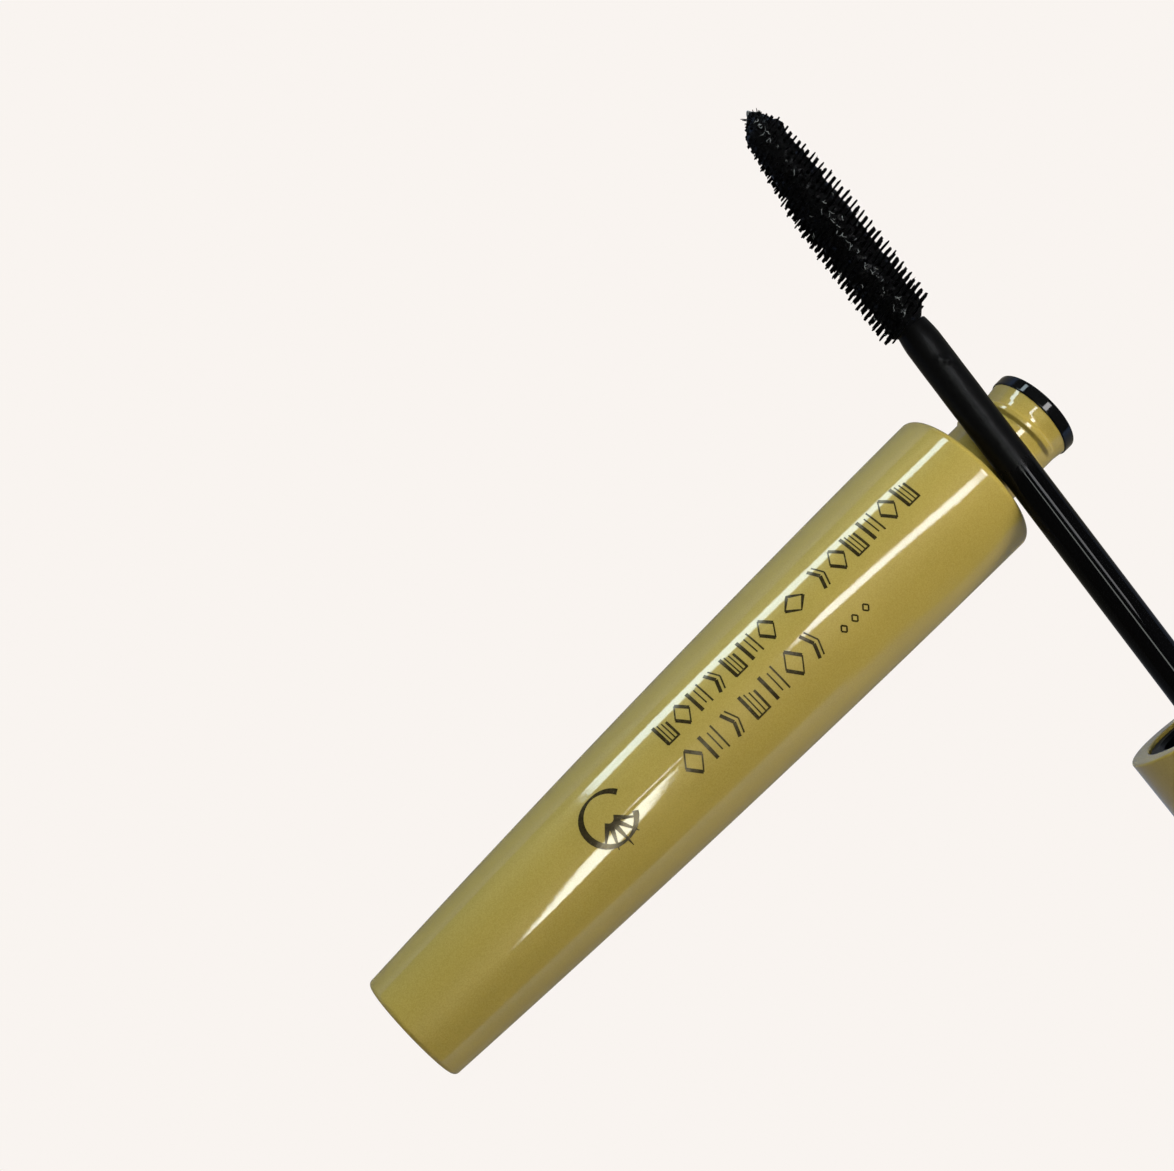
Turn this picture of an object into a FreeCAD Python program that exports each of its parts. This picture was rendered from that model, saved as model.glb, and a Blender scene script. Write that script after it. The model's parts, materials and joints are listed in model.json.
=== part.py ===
import FreeCAD, Part
import math
import os
import re
import Sketcher

# Mascara tube, taken apart: the filled bottle lies on its flank, and the cap with
# its wand lies across the neck. Each piece is drawn upright round its own Z axis,
# then laid down by its Placement. Bottle pieces start at the bottle's base, and
# wand pieces start at the tip of the brush.

DRIVING = {
    # bottle
    "body_length": 89.0,        # base to shoulder
    "base_radius": 6.99,
    "shoulder_radius": 9.7,
    "flank_radius": 2004.0,     # the long, barely curved side
    "shoulder_round": 0.9,
    "base_round": 0.6,
    "dish_radius": 4.6,         # shallow dish under the base
    "dish_depth": 0.4,
    "body_wall": 1.8,
    "floor_thickness": 2.0,
    "neck_radius": 5.3,
    "neck_bore": 4.3,
    "neck_height": 10.5,        # shoulder to the seat of the wiper's flange
    "collar_radius": 5.5,       # the neck widens to this under the flange
    "collar_height": 1.4,
    # screw thread, shared by the neck and the cap
    "lead": 2.4,
    "thread_depth": 0.4,
    "thread_foot": 1.3,         # width where the ridge leaves the neck
    "thread_crest": 0.5,
    "thread_bottom": 4.4,       # lowest ridge centre above the shoulder
    "thread_turns": 1.6,
    "thread_gap": 0.15,         # radial gap between the two threads
    # wiper
    "flange_radius": 5.65,
    "flange_height": 1.5,
    "flange_round": 0.35,
    "funnel_radius": 3.5,
    "throat_length": 1.2,
    "wiper_depth": 15.2,        # flange seat to the lips' lower edge
    "lip_wall": 0.7,
    # paste left in the bottle
    "paste_level": 80.0,
    "channel_radius": 4.0,      # the hollow that the brush leaves
    "channel_floor": 3.0,
    # wand
    "rod_radius": 2.16,
    "rod_clearance": 0.05,
    "rod_nose_radius": 1.9,
    "rod_nose_length": 2.6,
    "rod_start": 31.0,          # brush tip to the end of the rod
    "wire_hole": 0.5,
    "wire_socket_depth": 10.0,
    "wire_radius": 0.22,
    "wire_offset": 0.24,        # each leg's distance from the brush's axis
    "wire_lead": 1.475,
    "brush_radius": 3.7,
    "brush_straight": 16.2,     # length of the cylindrical part
    "brush_waist": 2.45,        # radius where the short cone of the tip begins
    "brush_nose": 2.6,
    "brush_tip_radius": 0.95,
    # cap
    "mouth_height": 85.4,       # brush tip to the cap's mouth
    "mouth_radius": 9.7,
    "cap_length": 48.3,
    "cap_top_radius": 8.2,
    "cap_round": 0.8,
    "mouth_round": 0.2,
    "cap_bore": 7.5,
    "cap_bore_depth": 14.0,
    "cavity_radius": 6.65,
    "cap_roof": 2.5,
    "insert_recess": 0.4,
    "insert_ceiling": 13.15,    # mouth to the face over the liner
    "insert_web": 2.35,
    "socket_radius": 3.6,
    "socket_height": 32.0,
    "rod_depth": 31.5,          # mouth to the rod's upper end
    "rib_thickness": 0.9,
    "rib_height": 14.0,
    "liner_radius": 5.5,
    "liner_thickness": 1.0,
    "liner_gap": 0.08,
    # how the two halves lie
    "bottle_tilt": 1.476,       # degrees, neck end up
    "bottle_spin": 9.0,         # degrees about the bottle's own axis
    "wand_heading": -98.0,      # degrees in plan from the bottle's direction
    "crossing_reach": 3.2,      # shoulder to the wand's axis, along the bottle
    "crossing_from_tip": 47.6,  # brush tip to the crossing, along the wand
    "resting_gap": 0.12,        # rod above the neck
}
RIB_COUNT = 6

os.makedirs("parts", exist_ok=True)
doc = FreeCAD.newDocument("mascara_tube")
sheet = doc.addObject("Spreadsheet::Sheet", "sizes")
for row, (alias, number) in enumerate(DRIVING.items(), start=1):
    sheet.set("A%d" % row, alias.replace("_", " "))
    sheet.set("B%d" % row, str(number))
    sheet.setAlias("B%d" % row, alias)
doc.recompute()


def bound(formula):
    """The formula as an expression on the sheet's cells."""
    return re.sub(r"[a-z]+(?:_[a-z]+)+|\blead\b", lambda word: "sizes." + word.group(0), formula)


def value(formula):
    """The formula's number now."""
    found = sheet.evalExpression(bound(formula))
    return float(getattr(found, "Value", found))


def new_body(label):
    body = doc.addObject("PartDesign::Body", label)
    body.Label = label
    return body


def origin_plane(body, role):
    return next(item for item in body.Origin.OriginFeatures if item.Role == role)


def new_sketch(body, name, role):
    sketch = body.newObject("Sketcher::SketchObject", name)
    sketch.AttachmentSupport = (origin_plane(body, role), "")
    sketch.MapMode = "FlatFace"
    return sketch


def hold_point(sketch, edge, end, across, along):
    """Ties one end of an edge to its two formulas."""
    for axis, kind, formula in ((-2, "DistanceX", across), (-1, "DistanceY", along)):
        number = value(formula)
        if abs(number) < 1e-9:
            sketch.addConstraint(Sketcher.Constraint("PointOnObject", edge, end, axis))
            continue
        where = sketch.addConstraint(Sketcher.Constraint(kind, -1, 1, edge, end, number))
        sketch.setExpression("Constraints[%d]" % where, bound(formula))


def draw_outline(sketch, corners):
    """A closed outline. Each corner is (across, along) or (across, along, radius, side):
    an arc of that radius then leaves it, its centre on the left (1) or right (-1)."""
    points = [FreeCAD.Vector(value(corner[0]), value(corner[1]), 0) for corner in corners]
    ends = []
    for index, corner in enumerate(corners):
        start = points[index]
        stop = points[(index + 1) % len(points)]
        if len(corner) == 2:
            edge = sketch.addGeometry(Part.LineSegment(start, stop))
            ends.append((edge, 1, 2))
            continue
        radius, side = value(corner[2]), corner[3]
        chord = stop - start
        reach = math.sqrt(radius ** 2 - chord.Length ** 2 / 4)
        inward = FreeCAD.Vector(-chord.y, chord.x, 0) * (side / chord.Length)
        centre = start + chord * 0.5 + inward * reach
        first, last = (start, stop) if side > 0 else (stop, start)
        angles = [math.atan2(point.y - centre.y, point.x - centre.x) for point in (first, last)]
        circle = Part.Circle(centre, FreeCAD.Vector(0, 0, 1), radius)
        edge = sketch.addGeometry(Part.ArcOfCircle(circle, *angles))
        where = sketch.addConstraint(Sketcher.Constraint("Radius", edge, radius))
        sketch.setExpression("Constraints[%d]" % where, bound(corner[2]))
        ends.append((edge, 1, 2) if side > 0 else (edge, 2, 1))
    for index, (edge, begins, finishes) in enumerate(ends):
        following = ends[(index + 1) % len(ends)]
        sketch.addConstraint(
            Sketcher.Constraint("Coincident", edge, finishes, following[0], following[1]))
        hold_point(sketch, edge, begins, corners[index][0], corners[index][1])


def turned(body, name, corners, kind="PartDesign::Revolution"):
    """Turns an outline of (radius, height) corners about the body's Z axis."""
    sketch = new_sketch(body, name + "_outline", "XZ_Plane")
    draw_outline(sketch, corners)
    feature = body.newObject(kind, name)
    feature.Profile = sketch
    feature.ReferenceAxis = (sketch, ["V_Axis"])
    feature.Angle = 360
    doc.recompute()
    return feature


def cut_round(body, name, corners):
    """A groove of that outline, which has to take material away."""
    before = body.Shape.Volume
    feature = turned(body, name, corners, "PartDesign::Groove")
    if body.Shape.Volume > before - 1e-3:
        raise RuntimeError(name + " cuts nothing")
    return feature


def coiled(body, name, corners, pitch, height):
    """Winds an outline round the body's Z axis as a right-hand helix."""
    sketch = new_sketch(body, name + "_section", "XZ_Plane")
    draw_outline(sketch, corners)
    before = body.Shape.Volume
    feature = body.newObject("PartDesign::AdditiveHelix", name)
    feature.Profile = sketch
    feature.ReferenceAxis = (sketch, ["V_Axis"])
    feature.Mode = "pitch-height-angle"
    feature.setExpression("Pitch", bound(pitch))
    feature.setExpression("Height", bound(height))
    doc.recompute()
    if body.Shape.Volume < before + 1e-3:
        raise RuntimeError(name + " adds nothing")
    return feature


def around(body, feature, count):
    """Repeats a feature evenly round the body's Z axis."""
    pattern = body.newObject("PartDesign::PolarPattern", feature.Name + "_round")
    pattern.Originals = [feature]
    pattern.Axis = (origin_plane(body, "Z_Axis"), [""])
    pattern.Angle = 360
    pattern.Occurrences = count
    body.Tip = pattern
    doc.recompute()
    return pattern


def make_bottle():
    """Thick moulded tube with a barely curved flank, a dished base and a screw neck."""
    body = new_body("bottle")
    turned(body, "bottle_outside", [
        ("0", "dish_depth"),
        ("dish_radius - dish_depth", "dish_depth"),
        ("dish_radius", "0"),
        ("base_radius - base_round", "0", "base_round", 1),
        ("base_radius", "base_round", "flank_radius", 1),
        ("shoulder_radius", "body_length - shoulder_round", "shoulder_round", 1),
        ("shoulder_radius - shoulder_round", "body_length"),
        ("neck_radius", "body_length"),
        ("neck_radius", "body_length + neck_height - collar_height"),
        ("collar_radius", "body_length + neck_height"),
        ("0", "body_length + neck_height"),
    ])
    cut_round(body, "bottle_well", [
        ("0", "floor_thickness"),
        ("base_radius - body_wall", "floor_thickness", "flank_radius", 1),
        ("shoulder_radius - body_wall", "body_length - body_wall - shoulder_round"),
        ("neck_bore", "body_length - body_wall"),
        ("neck_bore", "body_length + neck_height"),
        ("0", "body_length + neck_height"),
    ])
    # The ridge starts a little inside the neck, so that it joins it all along.
    coiled(body, "neck_thread", [
        ("neck_radius - 0.2", "body_length + thread_bottom - thread_foot / 2"),
        ("neck_radius", "body_length + thread_bottom - thread_foot / 2"),
        ("neck_radius + thread_depth", "body_length + thread_bottom - thread_crest / 2"),
        ("neck_radius + thread_depth", "body_length + thread_bottom + thread_crest / 2"),
        ("neck_radius", "body_length + thread_bottom + thread_foot / 2"),
        ("neck_radius - 0.2", "body_length + thread_bottom + thread_foot / 2"),
    ], "lead", "lead * thread_turns")
    return body


def make_wiper():
    """Flanged insert in the neck: a funnel that narrows to the lips round the rod."""
    body = new_body("wiper")
    seat = "body_length + neck_height"
    top = seat + " + flange_height"
    lips = seat + " - wiper_depth"
    turned(body, "wiper_section", [
        ("neck_bore", seat),
        ("flange_radius - flange_round", seat, "flange_round", 1),
        ("flange_radius", seat + " + flange_round"),
        ("flange_radius", top + " - flange_round", "flange_round", 1),
        ("flange_radius - flange_round", top),
        ("funnel_radius + 0.5", top),
        ("funnel_radius", top + " - 0.5"),
        ("funnel_radius", lips + " + 3 * throat_length"),
        ("rod_radius + rod_clearance", lips + " + throat_length"),
        ("rod_radius + rod_clearance", lips),
        ("rod_radius + rod_clearance + lip_wall", lips),
        ("neck_bore", lips + " + 2 * throat_length"),
    ])
    return body


def make_paste():
    """Paste in the well, with the hollow that the brush leaves down its middle."""
    body = new_body("mascara_formula")
    skin = "base_radius - body_wall - 0.02"
    turned(body, "paste_fill", [
        ("0", "floor_thickness"),
        (skin, "floor_thickness", "flank_radius", 1),
        ("shoulder_radius - body_wall - 0.02", "body_length - body_wall - shoulder_round"),
        ("0", "body_length - body_wall - shoulder_round"),
    ])
    cut_round(body, "headspace", [
        ("0", "paste_level"),
        ("shoulder_radius", "paste_level"),
        ("shoulder_radius", "body_length"),
        ("0", "body_length"),
    ])
    cut_round(body, "brush_channel", [
        ("0", "channel_floor"),
        ("channel_radius", "channel_floor"),
        ("channel_radius", "body_length"),
        ("0", "body_length"),
    ])
    return body


def make_bristles():
    """Outer shape of the fibres: a cylinder that tapers to a short cone at the tip."""
    body = new_body("bristles")
    turned(body, "bristle_bundle", [
        ("wire_hole", "0.2"),
        ("brush_tip_radius", "0.2"),
        ("brush_waist", "brush_nose"),
        ("brush_radius", "rod_start - brush_straight"),
        ("brush_radius", "rod_start - 1.2"),
        ("brush_radius - 0.7", "rod_start - 0.3"),
        ("wire_hole", "rod_start - 0.3"),
    ])
    return body


def make_brush_wire():
    """Two wire legs twisted together, from the brush's tip up into the rod."""
    slope = math.degrees(math.atan2(value("wire_lead"), value("2 * pi * wire_offset")))
    upward = FreeCAD.Vector(0, 0, 1)
    legs = []
    for number in range(2):
        spin = FreeCAD.Rotation(upward, 180 * number)
        foot = FreeCAD.Vector(0, 0, value("wire_radius"))
        path = doc.addObject("Part::Helix", "leg_path_%d" % number)
        path.setExpression("Radius", bound("wire_offset"))
        path.setExpression("Pitch", bound("wire_lead"))
        path.setExpression("Height", bound("rod_start + wire_socket_depth - 2 * wire_radius"))
        path.Placement = FreeCAD.Placement(foot, spin)
        section = doc.addObject("Part::Circle", "leg_section_%d" % number)
        section.setExpression("Radius", bound("wire_radius"))
        across = FreeCAD.Rotation(FreeCAD.Vector(1, 0, 0), slope - 90)
        centre = spin.multVec(FreeCAD.Vector(value("wire_offset"), 0, 0)) + foot
        section.Placement = FreeCAD.Placement(centre, spin * across)
        doc.recompute()
        leg = doc.addObject("Part::Sweep", "leg_%d" % number)
        leg.Sections = [section]
        leg.Spine = (path, ["Edge%d" % (edge + 1) for edge in range(len(path.Shape.Edges))])
        leg.Solid = True
        leg.Frenet = True
        legs.append(leg)
    pair = doc.addObject("Part::Compound", "brush_wire")
    pair.Label = "brush_wire"
    pair.Links = legs
    doc.recompute()
    return pair


def make_rod():
    """Plain rod with a gently tapered nose, drilled for the brush's wire."""
    body = new_body("rod")
    turned(body, "rod_section", [
        ("wire_hole", "rod_start"),
        ("rod_nose_radius - 0.25", "rod_start", "0.25", 1),
        ("rod_nose_radius", "rod_start + 0.25"),
        ("rod_radius", "rod_start + 0.25 + rod_nose_length"),
        ("rod_radius", "mouth_height + rod_depth - 0.3"),
        ("rod_radius - 0.3", "mouth_height + rod_depth"),
        ("0", "mouth_height + rod_depth"),
        ("0", "rod_start + wire_socket_depth"),
        ("wire_hole", "rod_start + wire_socket_depth"),
    ])
    return body


def make_cap_shell():
    """Outer cap: a plain taper with a thick mouth and a closed, softly rounded top."""
    body = new_body("cap_shell")
    top = "mouth_height + cap_length"
    step = "mouth_height + cap_bore_depth"
    roof = top + " - cap_roof"
    turned(body, "shell_section", [
        ("cap_bore + mouth_round", "mouth_height"),
        ("mouth_radius - mouth_round", "mouth_height", "mouth_round", 1),
        ("mouth_radius", "mouth_height + mouth_round"),
        ("cap_top_radius", top + " - cap_round", "cap_round", 1),
        ("cap_top_radius - cap_round", top),
        ("0", top),
        ("0", roof),
        ("cavity_radius", roof),
        ("cavity_radius", step),
        ("cap_bore", step),
        ("cap_bore", "mouth_height + mouth_round"),
    ])
    return body


def make_cap_insert():
    """Moulding pressed into the shell: internal thread below, rod socket and ribs above."""
    body = new_body("cap_insert")
    edge = "mouth_height + insert_recess"
    step = "mouth_height + cap_bore_depth"
    ceiling = "mouth_height + insert_ceiling"
    web = ceiling + " + insert_web"
    bore = "neck_radius + thread_depth + thread_gap"
    turned(body, "insert_section", [
        (bore + " + 0.4", edge),
        ("cap_bore - 0.2", edge),
        ("cap_bore", edge + " + 0.2"),
        ("cap_bore", step),
        ("cavity_radius", step),
        ("cavity_radius", web),
        ("socket_radius", web),
        ("socket_radius", "mouth_height + socket_height"),
        ("rod_radius", "mouth_height + socket_height"),
        ("rod_radius", ceiling),
        (bore, ceiling),
        (bore, edge + " + 0.4"),
    ])
    # The ridge stands halfway between two turns of the neck's thread when closed.
    lowest = "mouth_height + thread_bottom - lead / 2"
    crest = "neck_radius + thread_gap"
    coiled(body, "cap_thread", [
        (bore + " + 0.2", lowest + " + thread_foot / 2.4"),
        (bore, lowest + " + thread_foot / 2.4"),
        (crest, lowest + " + thread_crest / 2.4"),
        (crest, lowest + " - thread_crest / 2.4"),
        (bore, lowest + " - thread_foot / 2.4"),
        (bore + " + 0.2", lowest + " - thread_foot / 2.4"),
    ], "lead", "lead * (thread_turns + 0.4)")
    plan = new_sketch(body, "rib_plan", "XY_Plane")
    plan.setExpression("AttachmentOffset.Base.z", bound(web + " - 0.1"))
    draw_outline(plan, [
        ("socket_radius - 0.4", "-rib_thickness / 2"),
        ("cavity_radius - 0.02", "-rib_thickness / 2"),
        ("cavity_radius - 0.02", "rib_thickness / 2"),
        ("socket_radius - 0.4", "rib_thickness / 2"),
    ])
    rib = body.newObject("PartDesign::Pad", "rib")
    rib.Profile = plan
    rib.setExpression("Length", bound("rib_height"))
    doc.recompute()
    around(body, rib, RIB_COUNT)
    return body


def make_cap_liner():
    """Loose sealing washer round the rod, held above the cap's thread."""
    body = new_body("cap_liner")
    upper = "mouth_height + insert_ceiling - liner_gap"
    lower = upper + " - liner_thickness"
    turned(body, "liner_section", [
        ("rod_radius + rod_clearance", lower),
        ("liner_radius - 0.2", lower),
        ("liner_radius", lower + " + 0.2"),
        ("liner_radius", upper),
        ("rod_radius + rod_clearance", upper),
    ])
    return body


def lie_bottle():
    """The bottle on its flank: the arc's lowest point just meets the floor."""
    tilt = math.radians(value("bottle_tilt"))
    radius = value("flank_radius")
    low = FreeCAD.Vector(value("base_round"), value("base_radius"), 0)
    high = FreeCAD.Vector(value("body_length - shoulder_round"), value("shoulder_radius"), 0)
    chord = high - low
    sunk = math.sqrt(radius ** 2 - chord.Length ** 2 / 4) / chord.Length
    centre = (low + high) * 0.5 + FreeCAD.Vector(chord.y, -chord.x, 0) * sunk
    lift = radius + centre.y * math.cos(tilt) - centre.x * math.sin(tilt)
    spin = FreeCAD.Rotation(FreeCAD.Vector(0, 0, 1), value("bottle_spin"))
    tip = FreeCAD.Rotation(FreeCAD.Vector(0, 1, 0), 90 - value("bottle_tilt"))
    return FreeCAD.Placement(FreeCAD.Vector(0, 0, lift), tip * spin)


def lie_wand(bottle_place):
    """The wand across the neck, rod just above it, with the cap's far rim on the floor."""
    reach = value("body_length + crossing_reach")
    axis = bottle_place.multVec(FreeCAD.Vector(0, 0, reach))
    neck_top = axis.z + value("neck_radius") / math.cos(math.radians(value("bottle_tilt")))
    rounding = value("cap_round")
    along = value("mouth_height + cap_length - crossing_from_tip") - rounding
    rim = value("cap_top_radius") - rounding
    droop = 0.0
    for _ in range(5):
        height = neck_top + value("rod_radius + resting_gap") / math.cos(droop)
        droop = math.asin((height - rounding) / math.hypot(along, rim)) - math.atan2(rim, along)
    heading = FreeCAD.Rotation(FreeCAD.Vector(0, 0, 1), value("wand_heading"))
    turn = heading * FreeCAD.Rotation(FreeCAD.Vector(0, 1, 0), 90 + math.degrees(droop))
    tip = FreeCAD.Vector(0, 0, -value("crossing_from_tip"))
    return FreeCAD.Placement(FreeCAD.Vector(axis.x, 0, height) + turn.multVec(tip), turn)


bottle_pieces = [make_bottle(), make_wiper(), make_paste()]
wand_pieces = [
    make_cap_shell(),
    make_cap_insert(),
    make_cap_liner(),
    make_rod(),
    make_brush_wire(),
    make_bristles(),
]
pieces = bottle_pieces + wand_pieces

bottle_place = lie_bottle()
wand_place = lie_wand(bottle_place)
for group, place in ((bottle_pieces, bottle_place), (wand_pieces, wand_place)):
    for piece in group:
        piece.Placement = place
doc.recompute()

# The frame's origin is on the floor, under the middle of the whole arrangement.
extent = FreeCAD.BoundBox()
for piece in pieces:
    extent.add(piece.Shape.optimalBoundingBox(False, False))
middle = FreeCAD.Vector(extent.Center.x, extent.Center.y, 0)
for piece in pieces:
    piece.Placement = FreeCAD.Placement(piece.Placement.Base - middle, piece.Placement.Rotation)
doc.recompute()

for item in doc.Objects:
    if "Invalid" in item.State or "Error" in item.State:
        raise RuntimeError("%s did not build: %s" % (item.Name, item.State))
for piece in pieces:
    if piece.Shape.isNull() or not piece.Shape.isValid() or not piece.Shape.Solids:
        raise RuntimeError(piece.Label + " has no valid solid")
for piece in pieces:
    piece.Shape.exportStep("parts/%s.step" % piece.Label)
    box = piece.Shape.optimalBoundingBox(False, False)
    print("%-16s solids %d  volume %9.2f  z %.3f to %.3f" % (
        piece.Label, len(piece.Shape.Solids), piece.Shape.Volume, box.ZMin, box.ZMax))
print("bottle axis from", bottle_pieces[0].Placement.Base, "wand axis from", wand_pieces[0].Placement.Base)
print("wand direction", wand_place.Rotation.multVec(FreeCAD.Vector(0, 0, 1)), "middle", middle)
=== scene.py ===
"""Looks of the mascara tube: bottle, wand and print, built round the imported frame."""
import json
import math

import bpy
import numpy as np
from mathutils import Matrix, Vector


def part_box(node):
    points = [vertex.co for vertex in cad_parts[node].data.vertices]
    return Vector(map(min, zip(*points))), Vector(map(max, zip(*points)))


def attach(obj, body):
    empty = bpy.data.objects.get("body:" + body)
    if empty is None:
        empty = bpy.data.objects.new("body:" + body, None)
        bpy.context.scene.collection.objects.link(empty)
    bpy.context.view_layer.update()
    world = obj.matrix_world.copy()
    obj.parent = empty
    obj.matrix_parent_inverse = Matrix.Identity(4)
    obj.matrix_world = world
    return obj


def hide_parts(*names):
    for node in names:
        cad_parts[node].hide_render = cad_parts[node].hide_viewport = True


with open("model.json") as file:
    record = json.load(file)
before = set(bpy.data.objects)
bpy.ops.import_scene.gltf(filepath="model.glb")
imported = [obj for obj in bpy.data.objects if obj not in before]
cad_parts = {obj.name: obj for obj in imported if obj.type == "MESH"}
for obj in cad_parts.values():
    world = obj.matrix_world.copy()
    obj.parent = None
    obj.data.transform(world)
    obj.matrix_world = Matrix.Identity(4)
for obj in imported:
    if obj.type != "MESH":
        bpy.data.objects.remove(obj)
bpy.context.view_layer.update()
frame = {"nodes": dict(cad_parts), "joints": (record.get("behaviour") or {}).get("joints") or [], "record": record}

MM = 0.001
FULL_TURN = 2 * math.pi
random = np.random.default_rng(20)

# ---------------------------------------------------------------- sizes
# In mm, the same as the CAD's. Heights on the bottle count from its base.
BODY_LENGTH = 89.0
BODY_WALL = 1.8
SHOULDER_RADIUS = 9.7
SHOULDER_ROUND = 0.9
STAND_RADIUS = 6.39         # outer edge of the flat that the bottle would stand on
BASE_ROUND = 0.6
DISH_DEPTH = 0.4
DISH_CORNER = 0.15
DISH_RADIUS = 4.05
STAND_INNER = 4.62          # inner edge of the flat
STAND_EDGE = 0.12
WELL_FLOOR = 2.0
FLANK_START = (STAND_RADIUS + BASE_ROUND, BASE_ROUND)
FLANK_END = (SHOULDER_RADIUS, BODY_LENGTH - SHOULDER_ROUND)
FLANK_RADIUS = 2004.0
BOTTLE_SPIN = 9.0           # degrees from the frame's x to where the thread starts

NECK_HEIGHT = 10.5
NECK_RADIUS = 5.3
NECK_BORE = 4.3
NECK_FILLET = 0.35
LIP_RADIUS = 5.5
LIP_FLARE = 1.4             # height over which the neck widens to its lip
SEAT = BODY_LENGTH + NECK_HEIGHT

LEAD = 2.4                  # rise of the thread in one turn
THREAD_BOTTOM = 4.4         # from the shoulder to the middle of the ridge where it starts
THREAD_TURNS = 1.6
THREAD_FADE = 0.07          # turns over which each end runs out
PLAIN_NECK = 2.5            # smooth stretch under the thread
RIDGE_HEIGHT = 0.4
RIDGE_REACH = 0.70          # from the ridge's middle to its foot
RIDGE_SLOPE = 0.50          # from its crest's edge to its foot

FLANGE_RADIUS = 5.65
FLANGE_HEIGHT = 1.5
FLANGE_LOW_EDGE = 0.14
FLANGE_TOP_EDGE = 0.24
SLEEVE_RADIUS = 4.28
SLEEVE_BORE = 3.5
WIPER_DEPTH = 15.2
THROAT_RADIUS = 2.21
THROAT_LENGTH = 1.2
THROAT_WALL = 0.7
FUNNEL_LENGTH = 2.4
THROAT_HEIGHT = SEAT - WIPER_DEPTH + THROAT_LENGTH / 2      # the middle of the throat

# Heights on the wand count from the brush's tip.
MOUTH_HEIGHT = 85.4
CAP_LENGTH = 48.3
CAP_TOP = MOUTH_HEIGHT + CAP_LENGTH
CAP_MOUTH_RADIUS = 9.7
CAP_TOP_RADIUS = 8.2
CAP_TOP_ROUND = 0.8
CAP_TOP_WALL = 2.5
CAP_INNER_EDGE = 0.22
CAP_OUTER_EDGE = 0.28
CAP_BORE = 7.5
CAP_BORE_DEPTH = 14.0
CAP_DEEP_BORE = 6.65

ROD_RADIUS = 2.16
ROD_START = 31.0
ROD_TOP = MOUTH_HEIGHT + 31.5
ROD_EDGE = 0.3              # chamfer at the top
NOSE_RADIUS = 1.9
NOSE_ROUND = 0.25
NOSE_LENGTH = 2.6
WIRE_HOLE_RADIUS = 0.5
WIRE_HOLE_END = ROD_START + 10
FILM_END = 52.3             # the wiper has cleaned the rod beyond this
FILM_FADE = 1.5
FINE_RINGS_END = 54.0       # the rod has close rings up to here, for the film

WIRE_LENGTH = 41.0
WIRE_LEAD = 1.475
WIRE_OFFSET = 0.24
WIRE_RADIUS = 0.22

# ---------------------------------------------------------------- frames
mounts = {mount["name"]: mount for mount in frame["record"]["mounts"]}
cap_turn = next(joint for joint in frame["joints"] if joint["name"] == "cap_turn")


def axis_frame(point, axis, height):
    """Frame with z on the axis and x downwards; its origin is that height, in mm, before the point."""
    z = Vector(axis).normalized()
    down = Vector((0, 0, -1))
    x = (down - z * down.dot(z)).normalized()
    y = z.cross(x)
    matrix = Matrix((x, y, z)).transposed().to_4x4()
    matrix.translation = Vector(point) - z * height * MM
    return matrix


throat = mounts["wiper_throat"]
bottle_frame = axis_frame(throat["pos_m"], throat["axis"], THROAT_HEIGHT)
wand_frame = axis_frame(cap_turn["pos_m"], cap_turn["axis"], MOUTH_HEIGHT)


def flank(height):
    """Outer radius of the bottle's flank at a height, both in mm."""
    low, high = Vector(FLANK_START), Vector(FLANK_END)
    chord = high - low
    sunk = math.sqrt(FLANK_RADIUS ** 2 - chord.length ** 2 / 4) / chord.length
    centre = (low + high) / 2 + Vector((-chord.y, chord.x)) * sunk
    return centre.x + math.sqrt(FLANK_RADIUS ** 2 - (height - centre.y) ** 2)


# ---------------------------------------------------------------- mesh tools
def finish_mesh(name, verts, faces, matrix, body, replaced=(), sharp=32.0):
    """Makes the object, smooths it and lets it ride on its body; without a body it is staging."""
    mesh = bpy.data.meshes.new(name)
    mesh.from_pydata([tuple(v) for v in verts], [], [tuple(f) for f in faces])
    mesh.validate()
    mesh.shade_smooth()
    if sharp is not None:
        mesh.set_sharp_from_angle(angle=math.radians(sharp))
    obj = bpy.data.objects.new(name, mesh)
    bpy.context.scene.collection.objects.link(obj)
    obj.matrix_world = matrix
    if body is None:
        return obj
    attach(obj, body)
    if replaced:
        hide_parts(*replaced)
    return obj


def wear(obj, material):
    """Gives the object this one material."""
    obj.data.materials.clear()
    obj.data.materials.append(material)


def arc(centre, radius, start, end, count):
    """Points on an arc of (radius, height), angles in degrees."""
    return [
        (centre[0] + radius * math.cos(angle), centre[1] + radius * math.sin(angle))
        for angle in np.radians(np.linspace(start, end, count))
    ]


def run(start, end, count):
    """Points from start towards end, without the last one."""
    return [
        (start[0] + (end[0] - start[0]) * k / count, start[1] + (end[1] - start[1]) * k / count)
        for k in range(count)
    ]


def lathe(profile, segments, shift=None):
    """Turns (radius, height) points in mm into verts and faces; shift(angle, r, z) moves a radius.

    The outline closes on itself, or else it starts and ends on the axis.
    """
    verts, rings, faces = [], [], []
    for r, z in profile:
        if r < 1e-6:
            rings.append([len(verts)])
            verts.append((0, 0, z * MM))
            continue
        ring = []
        for k in range(segments):
            turned = FULL_TURN * k / segments
            shifted = r + (shift(turned, r, z) if shift else 0.0)
            ring.append(len(verts))
            verts.append((shifted * math.cos(turned) * MM, shifted * math.sin(turned) * MM, z * MM))
        rings.append(ring)
    pairs = list(zip(rings, rings[1:]))
    if len(rings[0]) > 1 and len(rings[-1]) > 1:
        pairs.append((rings[-1], rings[0]))
    for low, high in pairs:
        for k in range(segments):
            after = (k + 1) % segments
            if len(low) == 1:
                faces.append((low[0], high[after], high[k]))
            elif len(high) == 1:
                faces.append((low[k], low[after], high[0]))
            else:
                faces.append((low[k], low[after], high[after], high[k]))
    return verts, faces


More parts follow.
